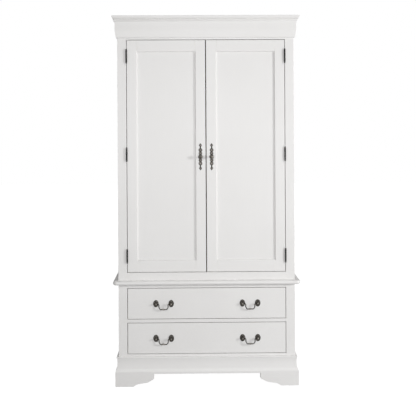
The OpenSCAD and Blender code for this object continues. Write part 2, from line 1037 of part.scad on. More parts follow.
cornice_front();
cornice_returns();
roof_board();
upper_left_side();
upper_right_side();
upper_deck();
upper_back();
upper_left_stile();
upper_right_stile();
upper_top_rail();
upper_sill_rail();
hat_shelf();
shelf_cleats();
hanging_rod();
rod_sockets();
magnetic_catches();
frame_hinge_leaves();
hinge_pins();
waist_slab();
lower_left_side();
lower_right_side();
lower_back();
lower_stiles();
lower_top_rail();
lower_middle_rail();
lower_bottom_rail();
dust_panel();
lower_deck();
drawer_runners();
plinth_front();
plinth_returns();
plinth_back();
corner_blocks();
foot_glides();
left_door_hinge_stile();
left_door_meeting_stile();
left_door_rails();
left_door_panel();
left_door_hinge_leaves();
left_door_backplate();
left_door_knob();
right_door_hinge_stile();
right_door_meeting_stile();
right_door_rails();
right_door_panel();
right_door_hinge_leaves();
right_door_backplate();
right_door_knob();
upper_drawer_front();
upper_drawer_walls();
upper_drawer_bottom();
upper_drawer_rosettes();
upper_left_bail();
upper_right_bail();
lower_drawer_front();
lower_drawer_walls();
lower_drawer_bottom();
lower_drawer_rosettes();
lower_left_bail();
lower_right_bail();
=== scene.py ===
import math

import bmesh
import bpy
from mathutils import Euler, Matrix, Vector


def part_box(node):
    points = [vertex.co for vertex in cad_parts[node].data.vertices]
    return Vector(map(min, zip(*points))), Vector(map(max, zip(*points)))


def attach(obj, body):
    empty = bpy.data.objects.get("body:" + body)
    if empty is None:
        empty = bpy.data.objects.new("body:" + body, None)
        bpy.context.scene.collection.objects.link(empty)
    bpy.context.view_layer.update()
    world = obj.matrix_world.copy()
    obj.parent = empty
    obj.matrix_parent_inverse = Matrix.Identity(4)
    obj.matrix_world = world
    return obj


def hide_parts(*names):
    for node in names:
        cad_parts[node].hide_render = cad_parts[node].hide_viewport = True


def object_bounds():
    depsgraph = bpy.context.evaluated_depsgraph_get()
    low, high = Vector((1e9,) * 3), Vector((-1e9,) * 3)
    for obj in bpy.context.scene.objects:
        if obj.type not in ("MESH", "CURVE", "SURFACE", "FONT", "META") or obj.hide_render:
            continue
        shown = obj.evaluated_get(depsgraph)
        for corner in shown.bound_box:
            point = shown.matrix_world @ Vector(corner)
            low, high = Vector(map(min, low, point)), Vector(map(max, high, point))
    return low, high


# A white painted two-door armoire over a two-drawer chest, with antique pewter handles
# and swan-neck pulls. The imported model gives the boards, mouldings, hinges and rod, which
# get rounded edges and finishes here. The ornate metalwork and small fixings are built
# here. Metres, +Z up, and the front faces -Y.

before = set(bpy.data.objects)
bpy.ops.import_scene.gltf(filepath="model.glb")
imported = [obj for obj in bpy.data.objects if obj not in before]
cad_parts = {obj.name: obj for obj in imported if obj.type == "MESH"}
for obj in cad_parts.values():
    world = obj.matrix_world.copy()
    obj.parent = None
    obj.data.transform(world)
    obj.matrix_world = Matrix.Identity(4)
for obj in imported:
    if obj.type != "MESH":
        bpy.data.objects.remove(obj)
cad_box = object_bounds()
MM = 0.001

# ---------------------------------------------------------------- which board gets what

GRAIN_UP = [
    "upper_left_side", "upper_right_side", "upper_left_stile", "upper_right_stile",
    "lower_left_side", "lower_right_side", "lower_stiles",
    "left_door_hinge_stile", "left_door_meeting_stile", "left_door_panel",
    "right_door_hinge_stile", "right_door_meeting_stile", "right_door_panel",
]
GRAIN_ACROSS = [
    "roof_board", "upper_top_rail", "upper_sill_rail", "waist_slab",
    "lower_top_rail", "lower_middle_rail", "lower_bottom_rail",
    "left_door_rails", "right_door_rails", "upper_drawer_front", "lower_drawer_front",
]
MOULDINGS_ACROSS = ["cornice_front", "plinth_front"]
MOULDINGS_BACK = ["cornice_returns", "plinth_returns"]
WOOD_ACROSS = ["upper_deck", "hat_shelf", "lower_deck", "plinth_back"]
WOOD_BACK = ["shelf_cleats", "drawer_runners", "upper_drawer_walls", "lower_drawer_walls"]
WOOD_UP = ["corner_blocks"]
PLY_UP = ["upper_back", "lower_back"]
PLY_BACK = ["dust_panel", "upper_drawer_bottom", "lower_drawer_bottom"]
IRON = ["frame_hinge_leaves", "hinge_pins", "left_door_hinge_leaves", "right_door_hinge_leaves"]
STEEL = ["hanging_rod", "rod_sockets"]
PLASTIC = ["magnetic_catches", "foot_glides"]

EDGE_ROUND = 0.9 * MM
MOULDING_ROUND = 0.5 * MM
INNER_ROUND = 0.6 * MM
SHARP_ANGLE = math.radians(35)
SHORT_EDGE = 4 * MM


# ---------------------------------------------------------------- materials

class Finish:
    """One material, and short calls that add nodes to it."""

    def __init__(self, name):
        self.material = bpy.data.materials.new(name)
        self.material.use_nodes = True
        self.tree = self.material.node_tree
        self.shader = self.tree.nodes["Principled BSDF"]
        self.place = self.add("TexCoord").outputs["Object"]

    def add(self, kind, **inputs):
        node = self.tree.nodes.new("ShaderNode" + kind)
        for name, value in inputs.items():
            self.feed(node.inputs[name.replace("_", " ")], value)
        return node

    def feed(self, socket, value):
        if isinstance(value, bpy.types.NodeSocket):
            self.tree.links.new(value, socket)
        else:
            socket.default_value = value

    def set(self, **inputs):
        for name, value in inputs.items():
            self.feed(self.shader.inputs[name.replace("_", " ")], value)

    def along(self, axis, stretch, fine):
        """Coordinates that run slowly along a board's grain and fast across it."""
        scale = [stretch if name == axis else fine for name in "XYZ"]
        return self.add("Mapping", Vector=self.place, Scale=scale).outputs["Vector"]

    def noise(self, vector, scale=1.0, detail=4.0, distortion=0.0):
        node = self.add("TexNoise", Vector=vector, Scale=scale, Detail=detail, Distortion=distortion)
        return node.outputs["Fac"]

    def ramp(self, factor, *stops):
        """Stops are (place, colour), from low to high."""
        node = self.add("ValToRGB", Fac=factor)
        elements = node.color_ramp.elements
        while len(elements) < len(stops):
            elements.new(0.5)
        for element, (where, colour) in zip(elements, stops):
            element.position = where
            element.color = (*colour, 1.0)
        return node.outputs["Color"]

    def span(self, value, low, high, start=0.0, end=1.0):
        """Maps start..end to low..high."""
        node = self.add("MapRange", Value=value, From_Min=start, From_Max=end, To_Min=low, To_Max=high)
        return node.outputs["Result"]

    def mix(self, factor, first, second, blend="MIX"):
        node = self.tree.nodes.new("ShaderNodeMix")
        node.data_type = "RGBA"
        node.blend_type = blend
        colours = [s for s in node.inputs if s.type == "RGBA"]
        self.feed(node.inputs[0], factor)
        self.feed(colours[0], first)
        self.feed(colours[1], second)
        return next(s for s in node.outputs if s.type == "RGBA")

    def bump(self, *layers):
        """Layers are (height, depth in metres), each laid over the one before."""
        normal = None
        for height, depth in layers:
            node = self.add("Bump", Height=height, Distance=depth)
            if normal is not None:
                self.feed(node.inputs["Normal"], normal)
            normal = node.outputs["Normal"]
        self.set(Normal=normal)


PAINT = (0.86, 0.852, 0.845)
PAINT_LOW = (0.83, 0.821, 0.812)
# Lighter than the paint, laid along every rounded edge: a painted highlight line.
PAINT_EDGE_HIGHLIGHT = (0.89, 0.88, 0.862)
PAINT_RUBBED = (0.80, 0.77, 0.72)


def white_paint(name, axis):
    """Satin sprayed paint that lets a little of the board's grain through."""
    f = Finish(name)
    grain = f.noise(f.along(axis, 6, 160), detail=5)
    cloud = f.noise(f.place, scale=2.4, detail=3)
    mist = f.noise(f.place, scale=1100, detail=2)
    f.set(
        Base_Color=f.mix(
            f.span(grain, 0.0, 0.35, 0.35, 0.75),
            f.ramp(cloud, (0.30, PAINT_LOW), (0.62, PAINT)),
            (*PAINT_LOW, 1.0),
        ),
        Roughness=f.span(cloud, 0.34, 0.48),
    )
    f.bump((grain, 0.06 * MM), (mist, 0.02 * MM))
    return f.material


def worn_and_highlit_paint(name, axis):
    """The same paint where it thins over a rounded edge, rubbed through in places, and elsewhere on the edge
    lighter than the flat faces: a painted highlight line.
    """
    f = Finish(name)
    patches = f.noise(f.place, scale=26, detail=6)
    grain = f.noise(f.along(axis, 9, 220), detail=4)
    f.set(
        # Rubbed-through patches, then the lighter painted highlight, then plain paint.
        Base_Color=f.ramp(patches, (0.30, PAINT_RUBBED), (0.40, PAINT_EDGE_HIGHLIGHT), (0.8, PAINT)),
        Roughness=f.span(patches, 0.55, 0.36),
    )
    f.bump((grain, 0.05 * MM), (patches, 0.10 * MM))
    return f.material


def clear_wood(name, axis, pale, dark, figure=20):
    """Planed wood under a thin clear coat: drawn-out figure, streaks and open pores."""
    f = Finish(name)
    rings = f.noise(f.along(axis, 1.3, figure), detail=7, distortion=1.4)
    streak = f.noise(f.along(axis, 5, 240), detail=4)
    pores = f.noise(f.along(axis, 40, 1500), detail=2)
    tone = f.ramp(rings, (0.30, dark), (0.47, pale), (0.55, dark), (0.66, pale))
    streaked = f.mix(f.span(streak, 0.0, 0.55, 0.45, 0.8), tone, (*dark, 1.0))
    pored = f.mix(f.span(pores, 0.0, 0.6, 0.62, 0.74), streaked, (*[c * 0.45 for c in dark], 1.0))
    f.set(Base_Color=pored, Roughness=f.span(streak, 0.42, 0.62), Coat_Weight=0.15, Coat_Roughness=0.35)
    f.bump((streak, 0.08 * MM), (f.span(pores, 0.0, -1.0, 0.62, 0.74), 0.10 * MM))
    return f.material


def pewter(name):
    """Cast metal with dark patina in its hollows and lighter metal on its high places, facing the front:
    partly rubbing, partly a painted highlight.
    """
    f = Finish(name)
    rub_and_highlight = f.add("Attribute")
    rub_and_highlight.attribute_name = "rub_and_highlight"
    blotch = f.noise(f.place, scale=210, detail=5)
    pits = f.noise(f.place, scale=2200, detail=3)
    share = f.add("Math", Value=rub_and_highlight.outputs["Fac"])
    share.operation = "MULTIPLY"
    f.feed(share.inputs[1], f.span(blotch, 0.35, 1.35, 0.3, 0.7))
    share.use_clamp = True
    shown = share.outputs["Value"]
    patina = f.ramp(blotch, (0.35, (0.019, 0.017, 0.015)), (0.7, (0.053, 0.048, 0.042)))
    f.set(
        Base_Color=f.mix(shown, patina, (0.42, 0.39, 0.35, 1.0)),
        Metallic=0.85,
        Roughness=f.span(shown, 0.50, 0.27),
    )
    f.bump((blotch, 0.12 * MM), (pits, 0.05 * MM))
    return f.material


def black_iron(name):
    f = Finish(name)
    blotch = f.noise(f.place, scale=320, detail=5)
    mist = f.noise(f.place, scale=2600, detail=2)
    f.set(
        Base_Color=f.ramp(blotch, (0.35, (0.008, 0.008, 0.009)), (0.75, (0.030, 0.028, 0.026))),
        Metallic=0.25,
        Roughness=f.span(blotch, 0.48, 0.65),
    )
    f.bump((mist, 0.04 * MM))
    return f.material


def drawn_steel(name):
    """Bright tube with the fine lines that drawing leaves along it."""
    f = Finish(name)
    lines = f.noise(f.along("X", 3, 1800), detail=3)
    smudge = f.noise(f.place, scale=14, detail=4)
    f.set(
        Base_Color=f.ramp(smudge, (0.3, (0.55, 0.55, 0.56)), (0.7, (0.70, 0.70, 0.71))),
        Metallic=1.0,
        Roughness=f.span(smudge, 0.20, 0.34),
    )
    f.bump((lines, 0.01 * MM))
    return f.material


def dark_plastic(name):
    f = Finish(name)
    grit = f.noise(f.place, scale=1500, detail=3)
    cloud = f.noise(f.place, scale=90, detail=3)
    f.set(
        Base_Color=f.ramp(cloud, (0.3, (0.028, 0.026, 0.024)), (0.7, (0.050, 0.047, 0.044))),
        Roughness=f.span(cloud, 0.42, 0.6),
    )
    f.bump((grit, 0.05 * MM))
    return f.material


BIRCH = ((0.66, 0.52, 0.36), (0.50, 0.35, 0.21))
PLY = ((0.60, 0.46, 0.31), (0.46, 0.31, 0.19))

paint = {axis: white_paint("white_paint_" + axis.lower(), axis) for axis in "XYZ"}
worn_and_highlit_edges = {axis: worn_and_highlit_paint("worn_and_highlit_paint_" + axis.lower(), axis) for axis in "XYZ"}
birch = {axis: clear_wood("birch_" + axis.lower(), axis, *BIRCH) for axis in "XYZ"}
ply = {axis: clear_wood("plywood_" + axis.lower(), axis, *PLY, figure=9) for axis in "YZ"}
old_pewter = pewter("antique_pewter_finish")
iron = black_iron("black_iron_finish")
steel = drawn_steel("drawn_steel_finish")
plastic = dark_plastic("dark_plastic_finish")


# ---------------------------------------------------------------- packed boards

def shading_group():
    """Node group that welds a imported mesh's split corners, shades it by angle, and marks
    its long sharp edges for rounding. The short ones round a bored hole stay crisp."""
    group = bpy.data.node_groups.new("weld_and_shade", "GeometryNodeTree")
    for direction in ("INPUT", "OUTPUT"):
        group.interface.new_socket("Geometry", in_out=direction, socket_type="NodeSocketGeometry")
    nodes, links = group.nodes, group.links

    def compare(operation, value, limit):
        node = nodes.new("FunctionNodeCompare")
        node.operation = operation
        links.new(value, node.inputs["A"])
        node.inputs["B"].default_value = limit
        return node.outputs["Result"]

    first = nodes.new("NodeGroupInput")
    weld = nodes.new("GeometryNodeMergeByDistance")
    weld.inputs["Distance"].default_value = 0.002 * MM
    unset = nodes.new("GeometryNodeRemoveAttribute")
    unset.inputs["Name"].default_value = "custom_normal"
    faces = nodes.new("GeometryNodeSetShadeSmooth")
    edges = nodes.new("GeometryNodeSetShadeSmooth")
    edges.domain = "EDGE"
    mark = nodes.new("GeometryNodeStoreNamedAttribute")
    mark.data_type = "FLOAT"
    mark.domain = "EDGE"
    mark.inputs["Name"].default_value = "bevel_weight_edge"
    last = nodes.new("NodeGroupOutput")
    chain = [first, weld, unset, faces, edges, mark, last]
    for a, b in zip(chain, chain[1:]):
        links.new(a.outputs["Geometry"], b.inputs["Geometry"])
    angle = nodes.new("GeometryNodeInputMeshEdgeAngle").outputs["Unsigned Angle"]
    ends = nodes.new("GeometryNodeInputMeshEdgeVertices")
    length = nodes.new("ShaderNodeVectorMath")
    length.operation = "DISTANCE"
    links.new(ends.outputs["Position 1"], length.inputs[0])
    links.new(ends.outputs["Position 2"], length.inputs[1])
    both = nodes.new("FunctionNodeBooleanMath")
    links.new(compare("GREATER_THAN", angle, SHARP_ANGLE), both.inputs[0])
    links.new(compare("GREATER_THAN", length.outputs["Value"], SHORT_EDGE), both.inputs[1])
    links.new(both.outputs["Boolean"], mark.inputs["Value"])
    links.new(compare("LESS_THAN", angle, SHARP_ANGLE), edges.inputs["Shade Smooth"])
    return group


weld_and_shade = shading_group()


def finish_node(name, material, edge_material=None, rounding=0.0):
    """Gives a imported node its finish, and rounds its edges if it is a board."""
    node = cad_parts[name]
    node.data.materials[0] = material
    if not rounding:
        return
    shade = node.modifiers.new("weld_and_shade", "NODES")
    shade.node_group = weld_and_shade
    bevel = node.modifiers.new("rounded_edges", "BEVEL")
    bevel.width = rounding
    bevel.segments = 3
    bevel.limit_method = "WEIGHT"
    bevel.harden_normals = True
    if edge_material is not None:
        node.data.materials.append(edge_material)
        bevel.material = 1


def finish_nodes():
    for names, axis, rounding in (
        (GRAIN_UP, "Z", EDGE_ROUND),
        (GRAIN_ACROSS, "X", EDGE_ROUND),
        (MOULDINGS_ACROSS, "X", MOULDING_ROUND),
        (MOULDINGS_BACK, "Y", MOULDING_ROUND),
    ):
        for name in names:
            finish_node(name, paint[axis], worn_and_highlit_edges[axis], rounding)
    for names, wood in (
        (WOOD_UP, birch["Z"]), (WOOD_ACROSS, birch["X"]), (WOOD_BACK, birch["Y"]),
        (PLY_UP, ply["Z"]), (PLY_BACK, ply["Y"]),
    ):
        for name in names:
            finish_node(name, wood, rounding=INNER_ROUND)
    for names, material in ((IRON, iron), (STEEL, steel), (PLASTIC, plastic)):
        for name in names:
            finish_node(name, material)


# ---------------------------------------------------------------- mesh helpers

class Casting:
    """A mesh under construction, with how much each of its points is lightened: rubbed metal, and partly a
    painted highlight.
    """

    def __init__(self):
        self.bm = bmesh.new()
        self.rub_and_highlight = self.bm.verts.layers.float.new("rub_and_highlight")

    def point(self, place, rub_and_highlight=0.0):
        vert = self.bm.verts.new(place)
        vert[self.rub_and_highlight] = max(0.0, min(1.0, rub_and_highlight))
        return vert

    def skin(self, rows, joined=True):
        """Quads between rows of points, each row closed on itself, and a cap at both ends."""
        for low, high in zip(rows, rows[1:]):
            for i in range(len(low) if joined else len(low) - 1):
                j = (i + 1) % len(low)
                self.bm.faces.new((low[i], low[j], high[j], high[i]))
        self.bm.faces.new(rows[0])
        self.bm.faces.new(rows[-1])

    def piece(self, name, body, material, replaced=()):
        """Closes the mesh into a piece that rides on body."""
        bmesh.ops.recalc_face_normals(self.bm, faces=self.bm.faces)
        mesh = bpy.data.meshes.new(name)
        self.bm.to_mesh(mesh)
        self.bm.free()
        mesh.materials.append(material)
        mesh.polygons.foreach_set("use_smooth", [True] * len(mesh.polygons))
        mesh.set_sharp_from_angle(angle=SHARP_ANGLE)
        made = bpy.data.objects.new(name, mesh)
        bpy.context.scene.collection.objects.link(made)
        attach(made, body)
        if replaced:
            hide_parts(*replaced)
        return made


def arc(x, y, r, start, end, steps=8):
    """Points of a round stretch, angles in degrees."""
    turns = [math.radians(start + (end - start) * i / steps) for i in range(steps + 1)]
    return [(x + r * math.cos(a), y + r * math.sin(a)) for a in turns]


def lathe(casting, centre, outwards, profile, sides=40, rub_and_highlight=lambda r, h: 0.0):
    """Turns a profile of (radius, height) about the axis outwards from centre."""
    axis = Vector(outwards).normalized()
    right = axis.orthogonal().normalized()
    up = axis.cross(right)
    rows = []
    for radius, height in profile:
        row = []
        for i in range(sides):
            a = 2 * math.pi * i / sides
            spoke = right * math.cos(a) + up * math.sin(a)
            row.append(casting.point(Vector(centre) + axis * height + spoke * radius, rub_and_highlight(radius, height)))
        rows.append(row)
    casting.skin(rows)


def relief(casting, centre, outwards, half_w, half_h, height, rings=12, sides=48, rub_and_highlight=lambda s, a: 0.0):
    """An oval plate standing on a face, whose height(share of the radius, angle) shapes it."""
    axis = Vector(outwards).normalized()
    up = Vector((0, 0, 1)) if abs(axis.z) < 0.5 else Vector((0, 1, 0))
    right = up.cross(axis)
    rows = []
    for k in range(rings + 1):
        share = max(0.004, math.cos(math.pi / 2 * k / rings))
        row = []
        for i in range(sides):
            a = 2 * math.pi * i / sides
            place = Vector(centre) + right * (half_w * share * math.cos(a))
            place += up * (half_h * share * math.sin(a))
            row.append(casting.point(place + axis * height(share, a), rub_and_highlight(share, a)))
        rows.append(row)
    foot = [casting.point(Vector(v.co) - axis * height(1.0, 2 * math.pi * i / sides), 0.0)
            for i, v in enumerate(rows[0])]
    casting.skin([foot, *rows])


def hump(x, middle, half_width):
    """1 at the middle and 0 half_width away from it, smooth between."""
    t = min(1.0, abs(x - middle) / half_width)
    return 0.5 + 0.5 * math.cos(math.pi * t)


FRONT = Vector((0, -1, 0))
BEHIND = Vector((0, 1, 0))

# ---------------------------------------------------------------- door handles

door_front_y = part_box("left_door_meeting_stile")[0].y
door_back_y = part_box("left_door_meeting_stile")[1].y
# Height over the middle, radius and rise of each lobe, in mm
PLATE_LOBES = ((0, 12.0, 1.0), (19, 9.2, 1.5), (36.5, 10.0, 1.9))
FINIAL_Z, FINIAL_HALF_W, FINIAL_TIP = 62.5, 8.0, 73.0
NECK_HALF_W = 3.3


def plate_half_width(z):
    """Half of the backplate's width in mm, z mm from its middle."""
    z = abs(z)
    widths = [math.sqrt(max(0.0, r * r - (z - level) ** 2)) for level, r, _ in PLATE_LOBES]
    widths.append(NECK_HALF_W if z < FINIAL_Z else 0.0)
    reach = FINIAL_TIP - FINIAL_Z
    point = max(0.0, 1 - abs(z - FINIAL_Z) / reach)
    widths.append(FINIAL_HALF_W * point ** 0.8)
    ripple = 0.35 * math.cos(z * 2 * math.pi / 4.4) * (1 - point) * (1 if z < FINIAL_Z else 0)
    return max(0.12, max(widths) + ripple)


def plate_height(x, z):
    """Height in mm of the backplate's face over the door, at x, z mm from its middle."""
    t = min(1.0, abs(x) / plate_half_width(z))
    height = 1.4 * (1 - t ** 5) ** 0.5 + 0.45 * hump(t, 0.80, 0.22)
    for level, r, rise in PLATE_LOBES[1:]:
        away = math.hypot(x, abs(z) - level) / (0.78 * r)
        if away < 1:
            turn = math.atan2(x, abs(z) - level)
            height += rise * math.sqrt(1 - away * away) * (0.82 + 0.18 * math.cos(8 * turn))
    away = math.hypot(x, abs(z) - FINIAL_Z) / 4.6
    if away < 1:
        height += 1.7 * math.sqrt(1 - away * away)
    height += 0.5 * hump(abs(z), 51, 3) * (1 - t * t)
    return height


def backplate(side_name, centre_x, middle_z):
    rows_n, columns_n = 300, 30
    casting = Casting()
    rows = []
    for i in range(rows_n + 1):
        z = FINIAL_TIP * math.sin(math.pi * (i / rows_n - 0.5))
        half = plate_half_width(z)
        row = []
        for j in range(columns_n + 1):
            x = half * math.sin(math.pi * (j / columns_n - 0.5))
            height = plate_height(x, z)
            place = (centre_x + x * MM, door_front_y - height * MM, middle_z + z * MM)
            row.append(casting.point(place, (height - 1.5) / 1.9))
        rows.append(row)
    casting.skin(rows)
    casting.piece(side_name + "_ornate_backplate", side_name, old_pewter,
                  [side_name + "_backplate"])


def knob(side_name, centre_x, middle_z):
    """Mushroom knob with turned rings, and the screw that holds it from behind."""
    casting = Casting()
    foot = Vector((centre_x, door_front_y - 1.3 * MM, middle_z))
    profile = [
        (0.05, 0.0), (9.0, 0.0), (9.3, 0.9), *arc(8.4, 1.8, 0.9, 20, 90, 5), (7.2, 2.6),
        *arc(6.4, 3.1, 0.6, 0, 120, 4), *arc(8.4, 8.2, 4.6, 245, 180, 8), (3.8, 13.0),
        *arc(4.2, 14.2, 0.9, -90, 60, 6), (4.0, 15.6), *arc(4.3, 21.0, 6.0, -62, -12, 8),
        (10.45, 20.4), (10.5, 21.4), (9.9, 22.1), (9.2, 22.2), (8.9, 22.9),
        *arc(0.0, 14.2, 12.3, 46, 71, 8), (3.6, 26.2), (3.2, 25.9), (2.6, 26.3), (1.4, 26.65), (0.05, 26.7),
    ]
    # The lighter metal on the front of the head and on the foot bead is partly rubbing, partly a painted
    # highlight.
    lathe(casting, foot, FRONT, [(r * MM, h * MM) for r, h in profile], 56,
          lambda r, h: 0.75 * hump(h, 24.5 * MM, 4 * MM) + 0.5 * hump(h, 2.2 * MM, 1.6 * MM))
    back = Vector((centre_x, door_back_y, middle_z))
    shank = [(0.05, 0), (2, 0), (2, 22), (0.05, 22)]
    lathe(casting, foot, BEHIND, [(r * MM, h * MM) for r, h in shank], 20)
    relief(casting, back, BEHIND, 4.4 * MM, 4.4 * MM, screw_face(2.4 * MM, 4.4 * MM), 14, 48)
    casting.piece(side_name + "_turned_knob", side_name, old_pewter,
                  [side_name + "_knob"])


def screw_face(rise, radius):
    """Height of a domed screw head with a cross recess."""
    def height(share, angle):
        x, z = share * math.cos(angle), share * math.sin(angle)
        arm = min(abs(x), abs(z)) < 0.14 and max(abs(x), abs(z)) < 0.62
        return rise * (0.35 + 0.65 * math.sqrt(max(0.0, 1 - share ** 3))) - (0.45 * rise if arm else 0.0)
    return height


# ---------------------------------------------------------------- drawer pulls

drawer_back_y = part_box("upper_drawer_front")[1].y
POST_REACH = 14 * MM
BAIL_DROP = 29.0
GRIP_HALF = 13.0
BEND_R = 9.0
BEND_TURN = math.radians(75)
WIRE_R = 2.2
ARM_SWAY = 1.3
POST_HALF = 41.5
ROSETTE_HALF_W = 14.5 * MM
ROSETTE_HALF_H = 19.5 * MM


def rosette_height(share, angle):
    """Beaded rim, ring of petals and a raised boss, in metres."""
    rim = 1.5 * hump(share, 0.90, 0.12) * (0.78 + 0.22 * math.cos(30 * angle))
    petals = 1.0 * hump(share, 0.62, 0.24) * (0.35 + 0.65 * abs(math.cos(6 * angle)))
    boss = 2.0 * hump(share, 0.0, 0.46)
    ground = 1.0 + 0.9 * hump(share, 0.0, 1.0)
    edge = 0.6 if share > 0.999 else 1.0
    return (ground * edge + rim + petals + boss) * MM


def rosette_rub(share, angle):
    rim = 0.45 * hump(share, 0.90, 0.08)
    petals = 0.75 * hump(share, 0.62, 0.20) * abs(math.cos(6 * angle)) ** 2
    return rim + petals + 0.3 * hump(share, 0.0, 0.4)


def rosette(casting, x, front_y, z):
    centre = Vector((x, front_y, z))
    relief(casting, centre, FRONT, ROSETTE_HALF_W, ROSETTE_HALF_H, rosette_height, 30, 90, rosette_rub)
    post = [(0.05, 2.0), (6.4, 2.0), (6.4, 4.3), *arc(5.6, 4.4, 0.8, 0, 90, 4), (4.4, 5.6),
            *arc(4.6, 7.6, 1.4, 250, 180, 4), (3.2, 9.0), *arc(0.0, 14.0, 5.2, -62, 89, 16)]
    # The lighter metal on the front of the post's ball is partly rubbing, partly a painted highlight.
    lathe(casting, centre, FRONT, [(r * MM, h * MM) for r, h in post], 40,
          lambda r, h: 0.9 * hump(h, 19.4 * MM, 4.5 * MM) + 0.4 * hump(h, 4.8 * MM, 1.2 * MM))
    inside = Vector((x, drawer_back_y, z))
    shank = [(0.05, 0), (2.5, 0), (2.5, 26), (0.05, 26)]
    lathe(casting, centre, BEHIND, [(r * MM, h * MM) for r, h in shank], 20)
    nut = [(0.05, 0), (5.6, 0), (6, 0.4), (6, 3.6), (5.6, 4), (0.05, 4)]
    lathe(casting, inside, BEHIND, [(r * MM, h * MM) for r, h in nut], 6, lambda r, h: 0.4)
    washer = [(0.05, 0), (7.4, 0), (7.4, 0.6), (0.05, 0.6)]
    lathe(casting, inside, BEHIND, [(r * MM, h * MM) for r, h in washer], 32, lambda r, h: 0.3)


def rosettes(drawer, pull_xs, front_y, middle_z):
    casting = Casting()
    for x in pull_xs:
        for side in (-1, 1):
            rosette(casting, x + side * POST_HALF * MM, front_y, middle_z)
    casting.piece(drawer + "_beaded_rosettes", drawer, old_pewter,
                  [drawer + "_rosettes"])


BEND_L = BEND_R * BEND_TURN
BEND_X = GRIP_HALF + BEND_R * math.sin(BEND_TURN)
BEND_Z = BEND_R * (1 - math.cos(BEND_TURN))
ARM_L = (BAIL_DROP - BEND_Z) / math.sin(BEND_TURN)
ARM_X = BEND_X + ARM_L * math.cos(BEND_TURN)
BAIL_L = GRIP_HALF + BEND_L + ARM_L


def bail_line(s):
    """Place and heading of the bail's middle line in mm, s mm from the grip's middle."""
    if s <= GRIP_HALF:
        return s, 0.0, 0.0
    if s <= GRIP_HALF + BEND_L:
        a = (s - GRIP_HALF) / BEND_R
        return GRIP_HALF + BEND_R * math.sin(a), BEND_R * (1 - math.cos(a)), a
    d = s - GRIP_HALF - BEND_L
    wave = 2 * math.pi / ARM_L
    sway = ARM_SWAY * math.sin(wave * d)
    x = BEND_X + d * math.cos(BEND_TURN) + sway * math.sin(BEND_TURN)
    z = BEND_Z + d * math.sin(BEND_TURN) - sway * math.cos(BEND_TURN)
    return x, z, BEND_TURN - math.atan(ARM_SWAY * wave * math.cos(wave * d))


def bail_radius(s):
    """Radius of the wire in mm: swelled grip with a bead at each end, tapered arms."""
    grip = 1.6 * hump(s, 0.0, GRIP_HALF) if s < GRIP_HALF else 0.0
    beads = 0.9 * hump(s, GRIP_HALF + 0.6, 1.3) + 0.45 * hump(s, GRIP_HALF - 2.2, 1.0)
    ring = 0.35 * hump(s, 0.0, 1.2)
    knuckle = 0.9 * hump(s, BAIL_L - 3.0, 4.0)
    return WIRE_R + grip + beads + ring + knuckle


def bail(name, body, node, centre_x, front_y, pivot_z):
    casting = Casting()
    steps, sides = 96, 18
    rows = []
    for i in range(-steps, steps + 1):
        side = -1 if i < 0 else 1
        s = BAIL_L * abs(i) / steps
        x, z, heading = bail_line(s)
        r = bail_radius(s)
        if BAIL_L - s < r:
            r = math.sqrt(max(0.01, r * r - (r - (BAIL_L - s)) ** 2))
        row = []
        for k in range(sides):
            a = 2 * math.pi * k / sides
            off = r * math.sin(a)
            place = Vector((
                centre_x + side * (x - off * math.sin(heading)) * MM,
                front_y - POST_REACH - r * math.cos(a) * MM,
                pivot_z + (z + off * math.cos(heading) - BAIL_DROP) * MM,
            ))
            # The grip and beads are lighter, most on the side facing the front: partly rubbing, partly a
            # painted highlight.
            row.append(casting.point(place, 1.1 * (r - WIRE_R) / 1.6 * (0.4 + 0.6 * max(0, math.cos(a)))))
        rows.append(row)
    casting.skin(rows)
    pin_l = (POST_HALF + 4.6 - ARM_X) * MM
    for side in (-1, 1):
        start = Vector((centre_x + side * ARM_X * MM, front_y - POST_REACH, pivot_z))
        pin = [(0.05 * MM, 0), (2 * MM, 0), (2 * MM, pin_l), (0.05 * MM, pin_l)]
        lathe(casting, start, (side, 0, 0), pin, 18)
    casting.piece(name, body, old_pewter, [node])


# ---------------------------------------------------------------- small fixings

def middle(node):
    low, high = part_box(node)
    return (low + high) / 2


def box_levels(node, count):
    """Middle heights of a node's separate solids, taken from its points in equal bands."""
    heights = sorted(v.co.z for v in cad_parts[node].data.vertices)
    groups = [[heights[0]]]
    for z in heights[1:]:
        if z - groups[-1][-1] > 0.1:
            groups.append([])
        groups[-1].append(z)
    return [(g[0] + g[-1]) / 2 for g in groups[:count]]


LEAF_SCREW_R = 3.3 * MM
LEAF_SCREW_RISE = 0.16 * MM


def leaf_screws(name, body, face_x, outwards_x, levels, leaf_y):
    """Three countersunk screws in each leaf, set in two depths as on a stock hinge."""
    casting = Casting()
    for level in levels:
        for k, shift in enumerate((-22 * MM, 0.0, 22 * MM)):
            y = leaf_y + (3 * MM if k == 1 else -3 * MM)
            relief(casting, (face_x, y, level + shift), (outwards_x, 0, 0), LEAF_SCREW_R, LEAF_SCREW_R,
                   screw_face(LEAF_SCREW_RISE, LEAF_SCREW_R), 12, 40, lambda s, a: 0.5 * hump(s, 0.8, 0.2))
    casting.piece(name, body, iron)


def hinge_screws():
    leaf_t = 1.3 * MM
    levels = box_levels("left_door_hinge_leaves", 3)
    low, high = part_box("left_door_hinge_leaves")
    leaf_y = (low.y + high.y) / 2 + 5 * MM
    frame_face = -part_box("upper_left_stile")[1].x
    door_face = -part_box("left_door_hinge_stile")[0].x
    for side, body in ((-1, "left_door"), (1, "right_door")):
        leaf_screws(body + "_hinge_screws", body, side * (door_face + leaf_t), side, levels, leaf_y)
        leaf_screws(body.replace("door", "frame") + "_hinge_screws", "carcass",
                    side * (frame_face - leaf_t), -side, levels, leaf_y)


